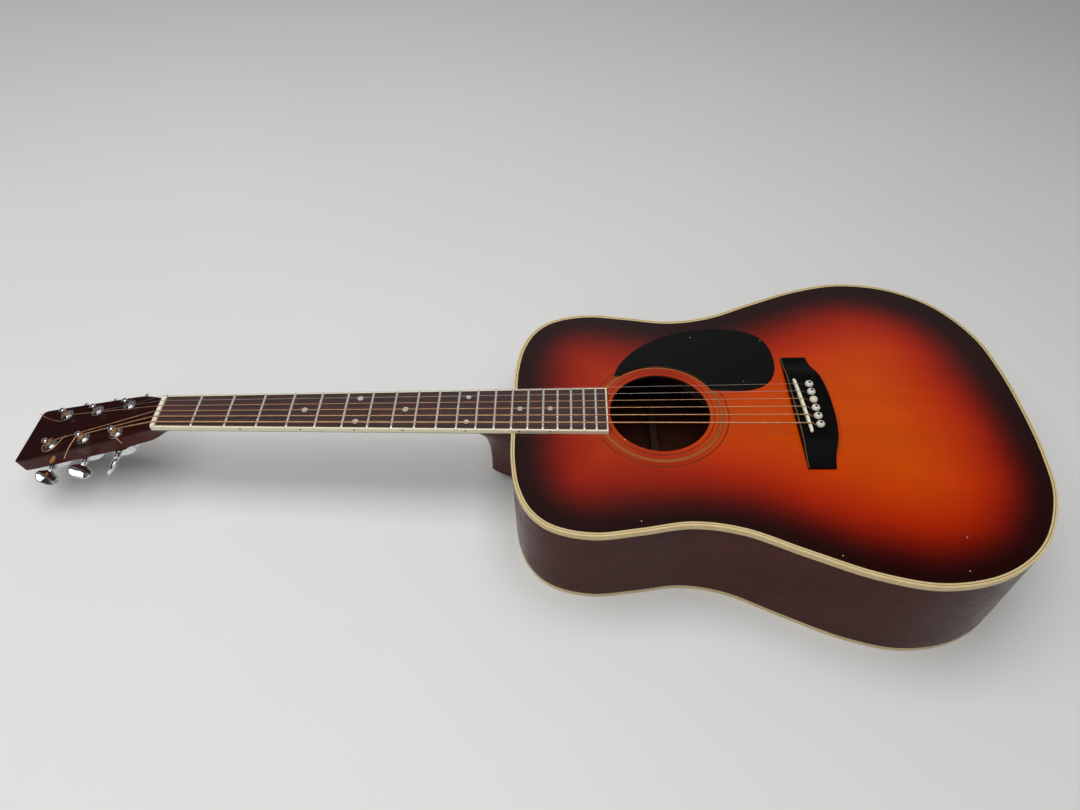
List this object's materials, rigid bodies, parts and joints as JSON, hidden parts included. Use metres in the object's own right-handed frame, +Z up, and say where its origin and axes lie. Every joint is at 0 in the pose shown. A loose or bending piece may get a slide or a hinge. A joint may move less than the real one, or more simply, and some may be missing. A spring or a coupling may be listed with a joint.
{
  "type": "acoustic guitar",
  "caption": "Worn steel-string dreadnought guitar on its back: sunburst top, black pickguard, geared tuners, loose string ends, mismatched bridge pin and a chipped headstock.",
  "frame": {"origin": "middle of the back's resting face, on the guitar's centre line", "axes": "+X along the guitar from the neck towards the tail, +Y towards the treble (thin) strings, +Z up, out of the top; the flat back rests on z = 0"},
  "size_m": [1.0354, 0.387, 0.1369],
  "materials": {
    "top_wood": "high-gloss sunburst lacquer, amber middle to near-black edge",
    "mahogany": "dark red-brown gloss lacquer",
    "neck_wood": "dark red-brown gloss lacquer, chipped to bare wood at the head",
    "rosewood": "oiled dark brown, open grain",
    "veneer": "near-black brown gloss",
    "bare_spruce": "unfinished",
    "bare_block": "unfinished",
    "ebonised": "black satin",
    "binding": "cream, slightly yellowed",
    "dark_line": "dark brown inlay",
    "rope_band": "light inlaid band",
    "guard_black": "black, scratched and specked",
    "bone": "ivory, yellowed",
    "pin_white": "white with dark dot",
    "pin_ivory": "ivory, plain",
    "pearl": "pearl",
    "dot_black": "black",
    "fret_nickel": "worn nickel silver",
    "chrome": "chrome, slightly dulled",
    "plain_steel": "plain wire",
    "bronze_wound": "bronze wound, oxidised",
    "rod_steel": "plain steel"
  },
  "bodies": {
    "guitar": {"top_plate": "top_wood", "back_plate": "mahogany", "side_bass": "mahogany", "side_treble": "mahogany", "top_binding": "binding", "purfling_line": "dark_line", "purfling_strip": "binding", "back_binding": "binding", "rosette_lines": "dark_line", "rosette_band": "rope_band", "pickguard": "guard_black", "neck_block": "bare_block", "tail_block": "bare_block", "top_lining": "bare_spruce", "back_lining": "bare_spruce", "x_braces": "bare_spruce", "upper_brace": "bare_spruce", "tone_bars": "bare_spruce", "finger_braces": "bare_spruce", "soundhole_braces": "bare_spruce", "bridge_plate": "bare_spruce", "back_braces": "bare_spruce", "back_strip": "bare_spruce", "bridge": "ebonised", "saddle": "bone", "bridge_pins": "pin_white", "bridge_pin_odd": "pin_ivory", "end_pin": "pin_white", "neck": "neck_wood", "head_veneer": "veneer", "fretboard": "rosewood", "board_binding": "binding", "frets": "fret_nickel", "face_dots": "pearl", "side_dots": "dot_black", "nut": "bone", "truss_rod": "rod_steel", "string_1": "plain_steel", "string_2": "plain_steel", "string_3": "bronze_wound", "string_4": "bronze_wound", "string_5": "bronze_wound", "string_6": "bronze_wound", "tuner_housings": "chrome", "tuner_covers": "chrome", "tuner_bushings": "chrome", "tuner_washers": "chrome", "tuner_screws": "chrome"},
    "button_1": {"tuner_button_1": "chrome"},
    "post_1": {"tuner_post_1": "chrome"},
    "button_2": {"tuner_button_2": "chrome"},
    "post_2": {"tuner_post_2": "chrome"},
    "button_3": {"tuner_button_3": "chrome"},
    "post_3": {"tuner_post_3": "chrome"},
    "button_4": {"tuner_button_4": "chrome"},
    "post_4": {"tuner_post_4": "chrome"},
    "button_5": {"tuner_button_5": "chrome"},
    "post_5": {"tuner_post_5": "chrome"},
    "button_6": {"tuner_button_6": "chrome"},
    "post_6": {"tuner_post_6": "chrome"}
  },
  "joints": [
    {"name": "button_1_turn", "type": "hinge", "parent": "guitar", "child": "button_1", "pos_m": [-0.66414, 0.0188, 0.06269], "axis": [0, 1, 0], "continuous": true},
    {"name": "post_1_turn", "type": "hinge", "parent": "guitar", "child": "post_1", "pos_m": [-0.66179, 0.0188, 0.08457], "axis": [-0.2622, 0, 0.965], "continuous": true},
    {"name": "button_2_turn", "type": "hinge", "parent": "guitar", "child": "button_2", "pos_m": [-0.70177, 0.0188, 0.05246], "axis": [0, 1, 0], "continuous": true},
    {"name": "post_2_turn", "type": "hinge", "parent": "guitar", "child": "post_2", "pos_m": [-0.69943, 0.0188, 0.07434], "axis": [-0.2622, 0, 0.965], "continuous": true},
    {"name": "button_3_turn", "type": "hinge", "parent": "guitar", "child": "button_3", "pos_m": [-0.73941, 0.0206, 0.04224], "axis": [0, 1, 0], "continuous": true},
    {"name": "post_3_turn", "type": "hinge", "parent": "guitar", "child": "post_3", "pos_m": [-0.73706, 0.0206, 0.06412], "axis": [-0.2622, 0, 0.965], "continuous": true},
    {"name": "button_4_turn", "type": "hinge", "parent": "guitar", "child": "button_4", "pos_m": [-0.73941, -0.0206, 0.04224], "axis": [0, -1, 0], "continuous": true},
    {"name": "post_4_turn", "type": "hinge", "parent": "guitar", "child": "post_4", "pos_m": [-0.73706, -0.0206, 0.06412], "axis": [-0.2622, 0, 0.965], "continuous": true},
    {"name": "button_5_turn", "type": "hinge", "parent": "guitar", "child": "button_5", "pos_m": [-0.70177, -0.0188, 0.05246], "axis": [0, -1, 0], "continuous": true},
    {"name": "post_5_turn", "type": "hinge", "parent": "guitar", "child": "post_5", "pos_m": [-0.69943, -0.0188, 0.07434], "axis": [-0.2622, 0, 0.965], "continuous": true},
    {"name": "button_6_turn", "type": "hinge", "parent": "guitar", "child": "button_6", "pos_m": [-0.66414, -0.0188, 0.06269], "axis": [0, -1, 0], "continuous": true},
    {"name": "post_6_turn", "type": "hinge", "parent": "guitar", "child": "post_6", "pos_m": [-0.66179, -0.0188, 0.08457], "axis": [-0.2622, 0, 0.965], "continuous": true}
  ],
  "couplings": [
    {"joint": "post_1_turn", "follows": "button_1_turn", "ratio": 0.071429},
    {"joint": "post_2_turn", "follows": "button_2_turn", "ratio": 0.071429},
    {"joint": "post_3_turn", "follows": "button_3_turn", "ratio": 0.071429},
    {"joint": "post_4_turn", "follows": "button_4_turn", "ratio": -0.071429},
    {"joint": "post_5_turn", "follows": "button_5_turn", "ratio": -0.071429},
    {"joint": "post_6_turn", "follows": "button_6_turn", "ratio": -0.071429}
  ]
}
